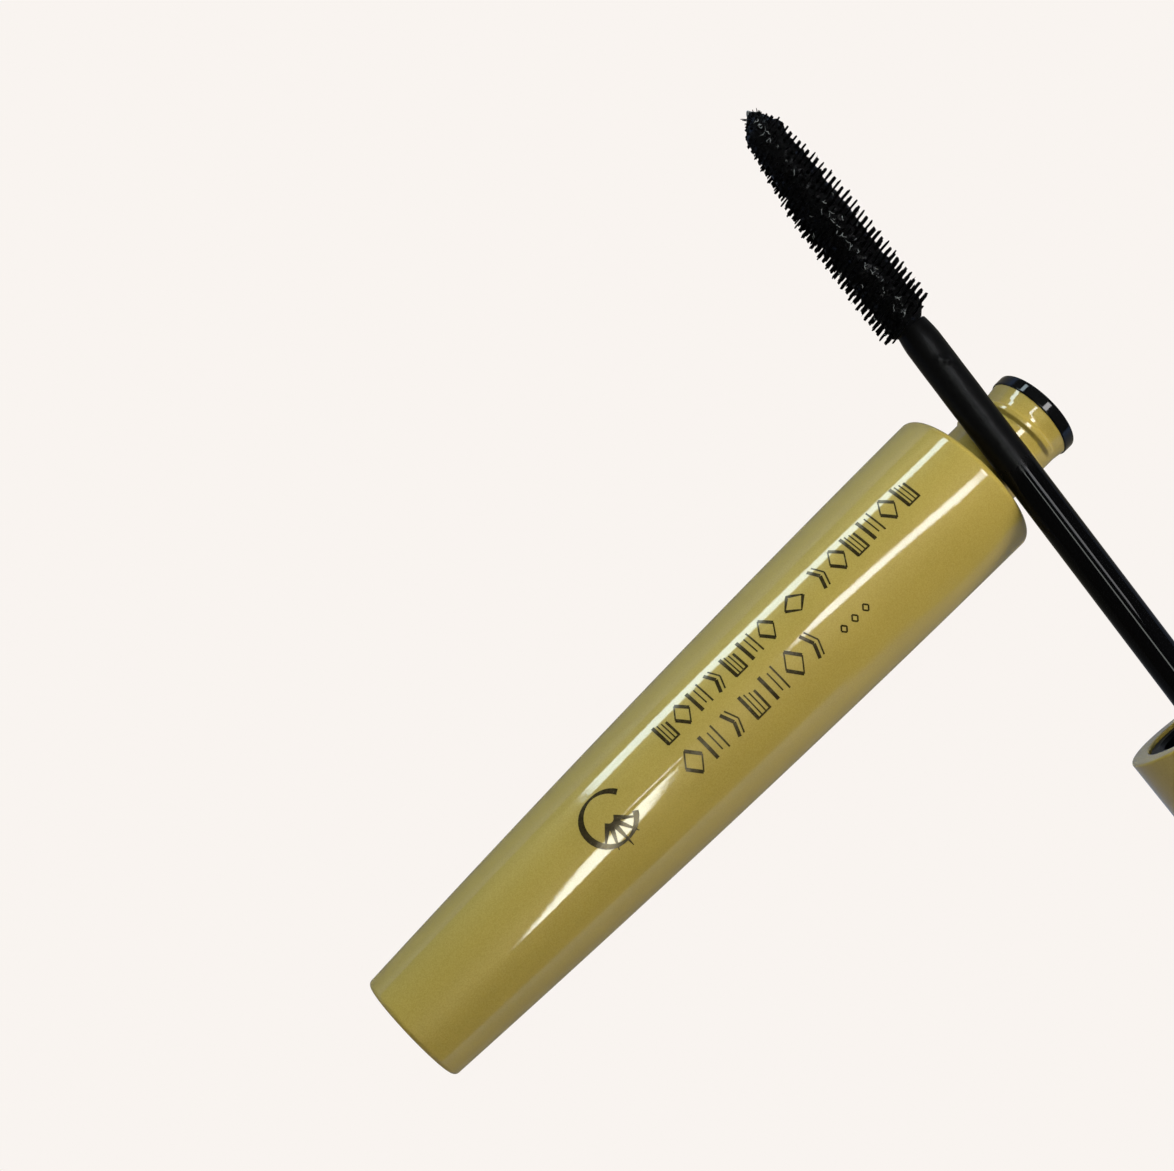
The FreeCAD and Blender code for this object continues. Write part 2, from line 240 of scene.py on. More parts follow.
def tube_faces(start, count, sides):
    """Faces of one closed tube: count rings of that many sides, from vertex start on."""
    faces = []
    for ring in range(count - 1):
        low = start + ring * sides
        for side in range(sides):
            after = (side + 1) % sides
            faces.append((low + side, low + after, low + sides + after, low + sides + side))
    last = start + (count - 1) * sides
    faces.append(tuple(start + side for side in reversed(range(sides))))
    faces.append(tuple(last + side for side in range(sides)))
    return faces


def tubes(paths, radii, sides):
    """Closed round tubes along many paths: paths (n, k, 3) and radii (n, k), in metres."""
    number, k, _ = paths.shape
    along = paths[:, -1] - paths[:, 0]
    along /= np.linalg.norm(along, axis=1, keepdims=True)
    upright = np.abs(along[:, 2:3]) >= 0.9
    helper = np.where(upright, np.array([[1.0, 0, 0]]), np.array([[0, 0, 1.0]]))
    across = np.cross(along, helper)
    across /= np.linalg.norm(across, axis=1, keepdims=True)
    upwards = np.cross(along, across)
    angle = np.arange(sides) * FULL_TURN / sides
    ring = (np.cos(angle)[None, :, None] * across[:, None, :]
            + np.sin(angle)[None, :, None] * upwards[:, None, :])
    verts = paths[:, :, None, :] + radii[:, :, None, None] * ring[:, None, :, :]
    faces = []
    for tube in range(number):
        faces += tube_faces(tube * k * sides, k, sides)
    return verts.reshape(-1, 3), faces


# ---------------------------------------------------------------- node tools
class Net:
    """A node tree, with short ways to add the nodes that the looks need."""

    def __init__(self, tree):
        self.nodes, self.links = tree.nodes, tree.links

    def feed(self, socket, item):
        """Links an output to the socket, or sets a number or a colour on it."""
        if isinstance(item, bpy.types.NodeSocket):
            self.links.new(item, socket)
        elif isinstance(item, tuple):
            socket.default_value = (*item, 1.0)
        else:
            socket.default_value = item

    def add(self, kind, settings):
        """A new node, with its inputs fed by name or by number."""
        node = self.nodes.new(kind)
        for key, item in settings.items():
            self.feed(node.inputs[key], item)
        return node

    def coordinates(self, kind="Object"):
        """Place on the object, in metres, or another kind of coordinates."""
        return self.nodes.new("ShaderNodeTexCoord").outputs[kind]

    def parts(self, vector):
        """The three numbers of a vector or a colour."""
        return self.add("ShaderNodeSeparateXYZ", {0: vector}).outputs

    def noise(self, where, scale, detail=3.0, rough=0.55, distortion=0.0):
        """Clouds from 0 to 1; a larger scale makes them smaller."""
        node = self.add("ShaderNodeTexNoise", {"Vector": where, "Scale": scale, "Detail": detail,
                                               "Roughness": rough, "Distortion": distortion})
        return node.outputs["Fac"]

    def cells(self, where, scale):
        """Voronoi cells, with a colour for each and the distance from their middles."""
        return self.add("ShaderNodeTexVoronoi", {"Vector": where, "Scale": scale}).outputs

    def remap(self, value, low, high, to_low, to_high):
        """The value's range from low to high becomes the other range, and stops at its ends."""
        node = self.add("ShaderNodeMapRange", {"Value": value, "From Min": low, "From Max": high,
                                               "To Min": to_low, "To Max": to_high})
        return node.outputs["Result"]

    def maths(self, operation, a, b):
        """The operation's result for two numbers or outputs."""
        node = self.add("ShaderNodeMath", {0: a, 1: b})
        node.operation = operation
        return node.outputs[0]

    def mix(self, factor, a, b, kind="RGBA"):
        """From a to b as the factor goes from 0 to 1."""
        node = self.nodes.new("ShaderNodeMix")
        node.data_type = kind
        for name, item in (("Factor", factor), ("A", a), ("B", b)):
            self.feed(node.inputs[name], item)
        return node.outputs["Result"]

    def bump(self, height, strength, distance, normal=None):
        """A surface raised by height times distance, on top of another bump if one is given."""
        node = self.add("ShaderNodeBump", {"Height": height, "Strength": strength,
                                           "Distance": distance})
        if normal is not None:
            self.links.new(normal, node.inputs["Normal"])
        return node.outputs["Normal"]

    def glow(self, colour, strength=1.0):
        """A shader that gives out light."""
        return self.add("ShaderNodeEmission", {"Color": colour, "Strength": strength}).outputs[0]

    def switch(self, ray, others, chosen):
        """One shader for that kind of ray and another for all others."""
        is_ray = self.nodes.new("ShaderNodeLightPath").outputs[ray]
        return self.add("ShaderNodeMixShader", {"Fac": is_ray, 1: others, 2: chosen}).outputs[0]


class Look(Net):
    """A material with one principled shader."""

    def __init__(self, name):
        self.material = bpy.data.materials.new(name)
        self.material.use_nodes = True
        super().__init__(self.material.node_tree)
        self.shader = self.nodes["Principled BSDF"]
        self.where = self.coordinates()

    def set(self, name, item):
        """Feeds one input of the principled shader."""
        self.feed(self.shader.inputs[name], item)


def glow_material(name, make_surface):
    """A material whose surface is what make_surface adds to its empty tree."""
    material = bpy.data.materials.new(name)
    material.use_nodes = True
    net = Net(material.node_tree)
    net.nodes.clear()
    net.add("ShaderNodeOutputMaterial", {"Surface": make_surface(net)})
    return material


# ---------------------------------------------------------------- materials
def gold_paint(name):
    """Sprayed olive gold with fine flakes under a glossy clear coat."""
    look = Look(name)
    flakes = look.cells(look.where, 9000.0)
    tone = look.parts(flakes["Color"])[0]
    cloud = look.remap(look.noise(look.where, 90.0, 4.0), 0.3, 0.7, 0.0, 1.0)
    base = look.mix(cloud, (0.237, 0.173, 0.032), (0.256, 0.187, 0.036))
    glitter = look.remap(tone, 0.0, 1.0, 0.0, 0.22)
    look.set("Base Color", look.mix(glitter, base, (0.42, 0.34, 0.10)))
    look.set("Roughness", look.remap(tone, 0.0, 1.0, 0.36, 0.52))
    look.set("Metallic", 0.06)
    look.set("Specular IOR Level", 0.2)
    look.set("Coat Weight", 1.0)
    look.set("Coat Roughness", 0.02)
    look.set("Coat IOR", 1.5)
    peel = look.noise(look.where, 1700.0, 2.0, 0.5)
    dust = look.noise(look.where, 9000.0, 1.0, 0.5)
    grain = look.bump(tone, 0.25, 0.00002)
    look.set("Normal", look.bump(peel, 0.10, 0.00004, grain))
    waves = look.bump(peel, 0.10, 0.00003)
    look.set("Coat Normal", look.bump(dust, 0.16, 0.00001, waves))
    return look.material


def black_moulding(name, rough=0.06, level=0.25):
    """Black moulded plastic with a faint flow texture and hairline marks."""
    look = Look(name)
    flow = look.noise(look.where, 420.0, 5.0, 0.6, 0.4)
    fine = look.noise(look.where, 5200.0, 2.0)
    look.set("Base Color", look.mix(flow, (0.0015, 0.0016, 0.0018), (0.0035, 0.0036, 0.004)))
    look.set("Roughness", look.remap(flow, 0.3, 0.7, rough * 0.8, rough * 1.5))
    look.set("Specular IOR Level", level)
    look.set("Normal", look.bump(fine, 0.06, 0.00003))
    return look.material


def rod_finish(name):
    """Black rod: wet film up to where the wiper has cleaned it, polished plastic beyond."""
    look = Look(name)
    height = look.parts(look.where)[2]
    wander = look.remap(look.noise(look.where, 700.0, 4.0, 0.6), 0.0, 1.0, -0.0012, 0.0012)
    film = look.remap(look.maths("ADD", height, wander), 0.0505, 0.0525, 1.0, 0.0)
    streak = look.noise(look.where, 1500.0, 5.0, 0.65, 0.6)
    look.set("Base Color", look.mix(film, (0.0012, 0.0012, 0.0014), (0.0022, 0.0022, 0.0024)))
    dry = look.remap(streak, 0.3, 0.7, 0.010, 0.025)
    wet = look.remap(streak, 0.35, 0.7, 0.29, 0.42)
    look.set("Roughness", look.mix(film, dry, wet, "FLOAT"))
    look.set("Specular IOR Level", 0.085)
    look.set("Normal", look.bump(look.maths("MULTIPLY", streak, film), 0.25, 0.00006))
    return look.material


def wet_fibre(name):
    """Black fibres soaked with paste: nearly black, with faint glints."""
    look = Look(name)
    clot = look.noise(look.where, 1900.0, 5.0, 0.65, 0.3)
    fine = look.noise(look.where, 9000.0, 3.0)
    look.set("Base Color", look.mix(clot, (0.0004, 0.0004, 0.0005), (0.0016, 0.0016, 0.0018)))
    look.set("Roughness", look.remap(clot, 0.35, 0.7, 0.7425, 0.3575))
    look.set("Specular IOR Level", 0.03)
    look.set("Normal", look.bump(fine, 0.4, 0.00005))
    return look.material


def wet_paste(name):
    """Black paste: dull and clotted, wet only on a few small crests."""
    look = Look(name)
    clot = look.noise(look.where, 1500.0, 4.0, 0.6, 0.2)
    fine = look.noise(look.where, 5200.0, 3.0)
    look.set("Base Color", look.mix(clot, (0.0004, 0.0004, 0.0005), (0.0018, 0.0018, 0.002)))
    look.set("Roughness", look.remap(clot, 0.54, 0.60, 0.90, 0.10))
    look.set("Specular IOR Level", 0.12)
    look.set("Normal", look.bump(fine, 0.5, 0.00006))
    return look.material


def paste_with_painted_glint(name):
    """Dried flakes and threads of paste: black, with a soft grey skin that is painted glint."""
    look = Look(name)
    skin = look.noise(look.where, 3200.0, 4.0, 0.6)
    # The pale grey patches are a painted glint on the black paste.
    painted_glint_mask = look.remap(skin, 0.35, 0.65, 0.0, 1.0)
    look.set("Base Color", look.mix(painted_glint_mask, (0.012, 0.013, 0.013), (0.17, 0.18, 0.18)))
    look.set("Roughness", look.remap(skin, 0.3, 0.7, 0.35, 0.7))
    look.set("Specular IOR Level", 0.3)
    look.set("Normal", look.bump(skin, 0.3, 0.00004))
    return look.material


def steel_wire(name):
    """Drawn steel with thin paste left in its hollows."""
    look = Look(name)
    soil = look.noise(look.where, 2600.0, 4.0, 0.6)
    soiled = look.remap(soil, 0.40, 0.58, 0.0, 1.0)
    look.set("Base Color", look.mix(soiled, (0.30, 0.31, 0.31), (0.004, 0.004, 0.0045)))
    look.set("Metallic", look.remap(soiled, 0.0, 1.0, 1.0, 0.0))
    look.set("Roughness", look.remap(soil, 0.3, 0.7, 0.25, 0.5))
    look.set("Normal", look.bump(soil, 0.2, 0.00005))
    return look.material


def soft_liner(name):
    """Pale foamed liner with a skin of small cells."""
    look = Look(name)
    cell = look.cells(look.where, 3600.0)["Distance"]
    look.set("Base Color", look.mix(cell, (0.62, 0.60, 0.56), (0.80, 0.79, 0.76)))
    look.set("Roughness", look.remap(cell, 0.0, 1.0, 0.7, 0.5))
    look.set("Normal", look.bump(cell, 0.3, 0.00005))
    return look.material


def dark_foil(name):
    """Hot-stamped dark foil: thin, mirror-like, a little crazed."""
    look = Look(name)
    crack = look.noise(look.where, 2400.0, 4.0, 0.7, 0.5)
    crazed = look.remap(crack, 0.35, 0.65, 0.0, 1.0)
    look.set("Base Color", look.mix(crazed, (0.022, 0.016, 0.006), (0.050, 0.038, 0.016)))
    look.set("Metallic", 0.5)
    look.set("Specular IOR Level", 0.3)
    look.set("Roughness", look.remap(crack, 0.3, 0.7, 0.10, 0.30))
    look.set("Normal", look.bump(crack, 0.12, 0.00003))
    return look.material


paint = gold_paint("gold_paint")
gloss = black_moulding("black_gloss")
cap_black = black_moulding("cap_black", 0.28, 0.03)
rod_black = rod_finish("rod_black")
fibre = wet_fibre("fibre")
paste = wet_paste("paste")
painted_glint_paste = paste_with_painted_glint("paste_with_painted_glint")
wire_steel = steel_wire("wire")
liner = soft_liner("soft_liner")
foil = dark_foil("dark_foil")


# ---------------------------------------------------------------- bottle
def ease(t):
    """Smooth step from 0 to 1."""
    return t * t * (3 - 2 * t)


def ridge(distance):
    """Height of the thread's rounded ridge at a distance from its middle, mm."""
    if abs(distance) >= RIDGE_REACH:
        return 0.0
    return RIDGE_HEIGHT * ease(min(1.0, (RIDGE_REACH - abs(distance)) / RIDGE_SLOPE))


def neck_thread(angle, radius, height):
    """Radial shift of the neck's surface for its right-hand thread."""
    outside_neck = not NECK_RADIUS - 0.01 < radius < LIP_RADIUS + 0.05
    if outside_neck or height < BODY_LENGTH + PLAIN_NECK:
        return 0.0
    turn = ((angle - math.radians(BOTTLE_SPIN)) / FULL_TURN) % 1.0
    highest = 0.0
    for whole in range(-1, 3):
        turns = turn + whole
        middle = BODY_LENGTH + THREAD_BOTTOM + LEAD * turns
        past_end = max(0.0, -turns, turns - THREAD_TURNS)
        fade = max(0.0, 1.0 - past_end / THREAD_FADE)
        highest = max(highest, ridge(height - middle) * ease(fade))
    return highest


def base_outline():
    """The dished base, from its middle to the round edge below the flank."""
    outline = [(0, DISH_DEPTH), (1.5, DISH_DEPTH), (3.0, DISH_DEPTH)]
    outline += arc((DISH_RADIUS, DISH_DEPTH - DISH_CORNER), DISH_CORNER, 90, 45, 4)
    outline += run((DISH_RADIUS + 0.12, 0.34), (STAND_INNER - 0.12, 0.05), 3)
    outline += arc((STAND_INNER, STAND_EDGE), STAND_EDGE, 235, 270, 3)
    outline += run((4.7, 0), (STAND_RADIUS, 0), 3)
    outline += arc((STAND_RADIUS, BASE_ROUND), BASE_ROUND, -90, -1, 9)
    return outline


def neck_outline():
    """The round shoulder and the neck, up to the seat of the wiper's flange."""
    flare = SEAT - LIP_FLARE
    shoulder_middle = (SHOULDER_RADIUS - SHOULDER_ROUND, BODY_LENGTH - SHOULDER_ROUND)
    fillet_middle = (NECK_RADIUS + NECK_FILLET, BODY_LENGTH + NECK_FILLET)
    outline = arc(shoulder_middle, SHOULDER_ROUND, 1, 90, 13)
    outline += run((SHOULDER_RADIUS - 1.0, BODY_LENGTH), (NECK_RADIUS + 0.45, BODY_LENGTH), 6)
    outline += arc(fillet_middle, NECK_FILLET, 270, 180, 6)
    outline += run((NECK_RADIUS, BODY_LENGTH + 0.4), (NECK_RADIUS, flare), 150)
    outline += run((NECK_RADIUS, flare), (LIP_RADIUS, SEAT), 8)
    outline += [(LIP_RADIUS, SEAT - 0.04), (LIP_RADIUS - 0.04, SEAT), (NECK_BORE, SEAT)]
    return outline


def well_outline():
    """The inside, from the neck's bore down to the middle of the well's floor."""
    ceiling = BODY_LENGTH - BODY_WALL
    outline = [(NECK_BORE, ceiling), (SHOULDER_RADIUS - BODY_WALL, ceiling - SHOULDER_ROUND)]
    outline += [(flank(z) - BODY_WALL, z) for z in (60, 30, 5)]
    outline += [(FLANK_START[0] - BODY_WALL, WELL_FLOOR), (0, WELL_FLOOR)]
    return outline


def build_bottle():
    """The moulded bottle in one piece, with its dish, flank, shoulder, neck and well."""
    side = [(flank(z), z) for z in np.linspace(0.75, BODY_LENGTH - 1.1, 72)]
    outline = base_outline() + side + neck_outline() + well_outline()
    verts, faces = lathe(outline, segments=224, shift=neck_thread)
    bottle = finish_mesh("bottle_shell", verts, faces, bottle_frame, "filled_bottle",
                         ["bottle"])
    wear(bottle, paint)


def build_wiper():
    """The wiper: a flange on the neck, a sleeve down the bore and a throat at its foot."""
    top, foot = SEAT + FLANGE_HEIGHT, SEAT - WIPER_DEPTH
    low, high = FLANGE_LOW_EDGE, FLANGE_TOP_EDGE
    outline = [(NECK_BORE, SEAT), (NECK_RADIUS, SEAT)]
    outline += arc((FLANGE_RADIUS - low, SEAT + low), low, -90, 0, 6)
    outline += run((FLANGE_RADIUS, SEAT + low + 0.02), (FLANGE_RADIUS, top - high - 0.02), 4)
    outline += arc((FLANGE_RADIUS - high, top - high), high, 0, 90, 7)
    outline += [(4.6, top), (4.3, top - 0.03), (4.05, top - 0.14), (3.7, top - 0.42)]
    outline += [(3.55, top - 0.7), (SLEEVE_BORE, top - 1.2)]
    outline += [(SLEEVE_BORE, foot + THROAT_LENGTH + FUNNEL_LENGTH)]
    outline += [(THROAT_RADIUS, foot + THROAT_LENGTH), (THROAT_RADIUS, foot)]
    outline += [(THROAT_RADIUS + THROAT_WALL, foot), (SLEEVE_RADIUS, foot + FUNNEL_LENGTH)]
    outline += [(SLEEVE_RADIUS, SEAT - 1)]
    verts, faces = lathe(outline, segments=160)
    wiper = finish_mesh("wiper_insert", verts, faces, bottle_frame, "filled_bottle",
                        ["wiper"])
    wear(wiper, gloss)


# ---------------------------------------------------------------- cap and rod
def build_cap():
    """The cap's outer shell: its hollow first, then the mouth's edges, the taper and the top."""
    low, top = MOUTH_HEIGHT, CAP_TOP
    step_in = low + CAP_BORE_DEPTH
    outline = [(0, top - CAP_TOP_WALL), (CAP_DEEP_BORE, top - CAP_TOP_WALL)]
    outline += [(CAP_DEEP_BORE, step_in), (CAP_BORE, step_in)]
    outline += run((CAP_BORE, step_in - 0.1), (CAP_BORE, low + 0.4), 10)
    outline += arc((CAP_BORE + CAP_INNER_EDGE, low + CAP_INNER_EDGE), CAP_INNER_EDGE, 180, 270, 6)
    outline += run((CAP_BORE + 0.5, low), (CAP_MOUTH_RADIUS - 0.3, low), 4)
    outline += arc((CAP_MOUTH_RADIUS - CAP_OUTER_EDGE, low + CAP_OUTER_EDGE), CAP_OUTER_EDGE,
                   -90, -3, 7)
    taper_start, taper_end = low + 0.2, top - CAP_TOP_ROUND
    taper = (CAP_MOUTH_RADIUS - CAP_TOP_RADIUS) / (taper_end - taper_start)
    outline += [(CAP_MOUTH_RADIUS - taper * (z - taper_start), z)
                for z in np.linspace(low + 0.5, top - 0.95, 40)]
    flat_radius = CAP_TOP_RADIUS - CAP_TOP_ROUND
    outline += arc((flat_radius, taper_end), CAP_TOP_ROUND, 2, 90, 11)
    outline += [(6.6, top), (4.0, top), (2.0, top), (0, top)]
    verts, faces = lathe(outline, segments=224)
    cap = finish_mesh("cap_outer", verts, faces, wand_frame, "wand", ["cap_shell"])
    wear(cap, paint)


# Drops of paste on the rod: thickness, height, reach along, angle, reach round.
ROD_DROPS = ((0.26, 36.8, 0.42, 3.0, 0.22), (0.10, 36.1, 0.35, 3.35, 0.20))


def rod_film(angle, radius, height):
    """Uneven film of paste on the rod's working end, with a large drop and a small one."""
    if radius < 1.2 or not ROD_START <= height <= FINE_RINGS_END:
        return 0.0
    fade = min(1.0, max(0.0, (FILM_END - height) / FILM_FADE))
    wave = math.sin(angle * 3 + height * 0.9) * math.sin(angle + height * 0.37)
    film = fade * (0.012 + 0.010 * wave)
    for thick, at, along, turned, around in ROD_DROPS:
        film += thick * math.exp(-((height - at) / along) ** 2 - ((angle - turned) / around) ** 2)
    return film


def build_rod():
    """The rod: the wire's hole first, then the rounded nose, the even shaft and the top."""
    outline = [(0, WIRE_HOLE_END), (WIRE_HOLE_RADIUS, WIRE_HOLE_END)]
    outline += [(WIRE_HOLE_RADIUS, ROD_START + 0.02), (1.6, ROD_START)]
    outline += arc((NOSE_RADIUS - NOSE_ROUND, ROD_START + NOSE_ROUND), NOSE_ROUND, -80, 0, 5)
    swell = ROD_RADIUS - NOSE_RADIUS
    outline += [(NOSE_RADIUS + swell * math.sin(t * math.pi / 2),
                 ROD_START + NOSE_ROUND + NOSE_LENGTH * t) for t in np.linspace(0.05, 1, 14)]
    outline += [(ROD_RADIUS, z) for z in np.linspace(ROD_START + 3.1, FINE_RINGS_END, 110)]
    outline += [(ROD_RADIUS, z) for z in np.linspace(FINE_RINGS_END + 4, ROD_TOP - ROD_EDGE, 14)]
    outline += [(ROD_RADIUS - ROD_EDGE, ROD_TOP), (0, ROD_TOP)]
    verts, faces = lathe(outline, segments=96, shift=rod_film)
    rod = finish_mesh("applicator_rod", verts, faces, wand_frame, "wand", ["rod"])
    wear(rod, rod_black)


# ---------------------------------------------------------------- brush
# Rows of (height from the tip, radius of the brush) and (height, free length of its fibres).
ENVELOPE = [(0.0, 0.45), (3.0, 2.45), (4.9, 2.6), (8.4, 3.08), (11.8, 3.42), (14.8, 3.7),
            (31.0, 3.7)]
FREE_LENGTH = [(0.0, 0.12), (2.6, 0.30), (6.0, 0.60), (10.0, 0.95), (14.0, 1.20), (31.0, 1.25)]
LEAN = math.tan(math.radians(14.5))     # the brush's rings lean over by this slope
BRUSH_START = 0.9
BRUSH_END = 30.75
CLUMPS_PER_TURN = 17
# Each row of clumps: breadth along the brush, fibres in a clump, how far it stands past the rest.
CLUMP_ROWS = ((0.28, 9, -0.14), (0.10, 6, 0.12))
# Where a fibre has its rings, as shares of its length, and its thickness at each, in mm.
FIBRE_RINGS = (0.0, 0.35, 0.62, 0.82, 0.94, 1.0)
FIBRE_TAPER = (1.0, 1.0, 1.0, 1.0, 0.96, 0.62)
STRAY_RADII = [0.035, 0.035, 0.034, 0.032, 0.026, 0.012]
TIP_RADII = [0.07, 0.068, 0.062, 0.056, 0.045, 0.02]
THREAD_TAPER = (0.5, 1.0, 1.0, 1.0, 0.9, 0.4)
FIBRE_ROOT = 0.5
STEPS_ON_WIRE = 713         # about 26 a turn
WIRE_SIDES = 12


def build_wire():
    """Two wires twisted round each other."""
    verts, faces = [], []
    for leg in range(2):
        heights = np.linspace(WIRE_RADIUS, WIRE_LENGTH - WIRE_RADIUS, STEPS_ON_WIRE)
        turned = FULL_TURN * (heights - WIRE_RADIUS) / WIRE_LEAD + leg * math.pi
        path = np.stack([WIRE_OFFSET * np.cos(turned), WIRE_OFFSET * np.sin(turned), heights], 1)
        ahead = np.gradient(path, axis=0)
        ahead /= np.linalg.norm(ahead, axis=1, keepdims=True)
        side = np.stack([np.cos(turned), np.sin(turned), np.zeros_like(turned)], 1)
        other = np.cross(ahead, side)
        faces += tube_faces(len(verts), STEPS_ON_WIRE, WIRE_SIDES)
        for middle, out, aside in zip(path, side, other):
            for k in range(WIRE_SIDES):
                angle = FULL_TURN * k / WIRE_SIDES
                outwards = math.cos(angle) * out + math.sin(angle) * aside
                verts.append(tuple((middle + WIRE_RADIUS * outwards) * MM))
    wire = finish_mesh("twisted_wire", verts, faces, wand_frame, "wand", ["brush_wire"])
    wear(wire, wire_steel)


def graded(table, height):
    """Value at a height, straight between the table's rows."""
    heights, values = zip(*table)
    return float(np.interp(height, heights, values))


def brush_reach(height, angle):
    """Radius of the brush, where a fibre that starts at that height and angle ends."""
    lean = LEAN * math.sin(angle) * graded(ENVELOPE, height)
    return graded(ENVELOPE, max(0.0, height - lean))


def leaning_point(radius, angle, height):
    """Point of the brush at that radius and angle, in mm, on a ring that leans over."""
    x, y = radius * math.cos(angle), radius * math.sin(angle)
    return x, y, height - LEAN * y


def add_clump_row(paths, radii, arm, breadth, fibres, extra):
    """One helical row of clumps, each a flat bunch of fibres with joined ends."""
    count = int((BRUSH_END - BRUSH_START) / WIRE_LEAD * CLUMPS_PER_TURN)
    for k in range(count):
        turns = (k + random.uniform(-0.22, 0.22)) / CLUMPS_PER_TURN
        height = BRUSH_START + turns * WIRE_LEAD
        angle = FULL_TURN * turns + arm * math.pi
        reach = brush_reach(height, angle) * (1 + random.normal(0, 0.010)) + extra * min(1.0, height / 9)
        spread = breadth * random.uniform(0.75, 1.15)
        tilt = random.normal(0, 0.014)
        curl = random.normal(0, 0.03)
        for number in range(fibres):
            along = (number / (fibres - 1) - 0.5) * spread + random.normal(0, 0.01)
            around = random.normal(0, 0.050)
            length = reach * (1 - abs(random.normal(0, 0.012)))
            pull = random.uniform(0.75, 0.95)
            points = []
            for t in FIBRE_RINGS:
                radius = FIBRE_ROOT + (length - FIBRE_ROOT) * t
                turned = angle + around * (1 - 0.35 * t) + curl * t * t
                level = height + along * (0.75 + 0.25 * pull * t) + tilt * (radius - FIBRE_ROOT)
                points.append(leaning_point(radius, turned, level))
            paths.append(points)
            thick = random.uniform(0.066, 0.082)
            radii.append([thick * share for share in FIBRE_TAPER])


def add_stray_fibres(paths, radii, count):
    """Thin single fibres that bend out of their row."""
    for _ in range(count):
        height = random.uniform(BRUSH_START, 30.0)
        angle = random.uniform(0, FULL_TURN)
        length = brush_reach(height, angle) * random.uniform(1.0, 1.07)
        bend, drop = random.normal(0, 0.25), random.normal(0, 0.5)
        points = []
        for t in FIBRE_RINGS:
            radius = FIBRE_ROOT + (length - FIBRE_ROOT) * t
            points.append(leaning_point(radius, angle + bend * t * t, height + drop * t))
        paths.append(points)
        radii.append(STRAY_RADII)


def add_tip_fibres(paths, radii, count):
    """Thick fibres at the tip, which point forwards."""
    root = 0.3
    for _ in range(count):
        angle = random.uniform(0, FULL_TURN)
        height = random.uniform(BRUSH_START, 2.6)
        length = random.uniform(0.5, 0.9) * brush_reach(height, angle)
        rise = random.uniform(-1.2, -0.6)
        points = []
        for t in FIBRE_RINGS:
            radius = root + (length - root) * t
            forward = height + rise * t * length
            points.append((radius * math.cos(angle), radius * math.sin(angle), forward))
        paths.append(points)
        radii.append(TIP_RADII)


def build_bristles():
    """Clumps of fibres in two helical rows, with a few stray fibres and a bunch at the tip."""
    paths, radii = [], []
    for arm, (breadth, fibres, extra) in enumerate(CLUMP_ROWS):
        add_clump_row(paths, radii, arm, breadth, fibres, extra)
    add_stray_fibres(paths, radii, 20)
    add_tip_fibres(paths, radii, 26)
    verts, faces = tubes(np.array(paths) * MM, np.array(radii) * MM, sides=5)
    tuft = finish_mesh("fibre_clumps", verts, faces, wand_frame, "wand", ["bristles"], None)
    wear(tuft, fibre)


def build_matted_paste():
    """Paste held between the rows: a heart that follows the brush's shape, with clots on it."""
    start, end, segments = 0.5, 31.3, 72
    # Each clot: height, angle, reach, thickness.
    clots = np.array([(random.uniform(start, 30.5), random.uniform(0, FULL_TURN),
                       random.uniform(0.2, 0.5), random.uniform(0.05, 0.28)) for _ in range(420)])
    verts, faces, rings = [], [], []
    for height in np.linspace(start, end, 310):
        ring = []
        near = clots[np.abs(clots[:, 0] - height) < 1.2]
        heights, angles, reaches, thicknesses = near.T
        tip = min(1.0, (height - 0.4) / 1.2)
        root = max(0.0, (height - 30.5) / 0.8)
        for k in range(segments):
            angle = FULL_TURN * k / segments
            painted_shadow_fade = np.angle(np.exp(1j * (angles - angle))) * 2.4
            lumps = thicknesses * np.exp(-((heights - height) / reaches) ** 2 - (painted_shadow_fade / reaches) ** 2)
            radius = brush_reach(height, angle) - graded(FREE_LENGTH, height) - 0.8 * root
            radius += float(np.sum(lumps)) * 0.8
            radius = max(0.35, radius) * (0.5 + 0.5 * tip ** 0.5)
            ring.append(len(verts))
            verts.append(tuple(np.array(leaning_point(radius, angle, height)) * MM))
        rings.append(ring)
    for low, high in zip(rings, rings[1:]):
        for k in range(segments):
            after = (k + 1) % segments
            faces.append((low[k], low[after], high[after], high[k]))
    faces.append(tuple(reversed(rings[0])))
    faces.append(tuple(rings[-1]))
    heart = finish_mesh("matted_paste", verts, faces, wand_frame, "wand", (), None)
    wear(heart, paste)


def build_threads_with_painted_glint():
    """Short curled threads of dried paste among the fibre ends, most of them along the top, where their grey is
    painted glint.
    """
    paths, radii = [], []
    total, along_top = 58, 44
    # Most threads lie along the top, where their pale grey paints the glints.
    for k in range(total):
        height = random.uniform(1.5, 30.2)
        off_top = random.normal(0, 0.06) if k < along_top else random.uniform(-1.1, 1.1)
        angle = math.pi + 0.24 + off_top
        heading = random.normal(0.3, 0.9)
        step = random.uniform(0.08, 0.18)
        radius = brush_reach(height, angle) * random.uniform(0.96, 1.01)
        points = []
        for _ in THREAD_TAPER:
            points.append(leaning_point(radius, angle, height))
            heading += random.normal(0, 0.7)
            height += step * math.cos(heading)
            angle += step * math.sin(heading) / radius
        paths.append(points)
        thick = random.uniform(0.03, 0.06)
        radii.append([thick * share for share in THREAD_TAPER])
    verts, faces = tubes(np.array(paths) * MM, np.array(radii) * MM, sides=6)
    threads = finish_mesh("threads_with_painted_glint", verts, faces, wand_frame, "wand", (), None)
    wear(threads, painted_glint_paste)


# ---------------------------------------------------------------- print
FOIL_PROUD = 0.014
FOIL_SUNK = 0.02
HAIRLINE = 0.18
THIN = 0.22
BOLD = 0.42


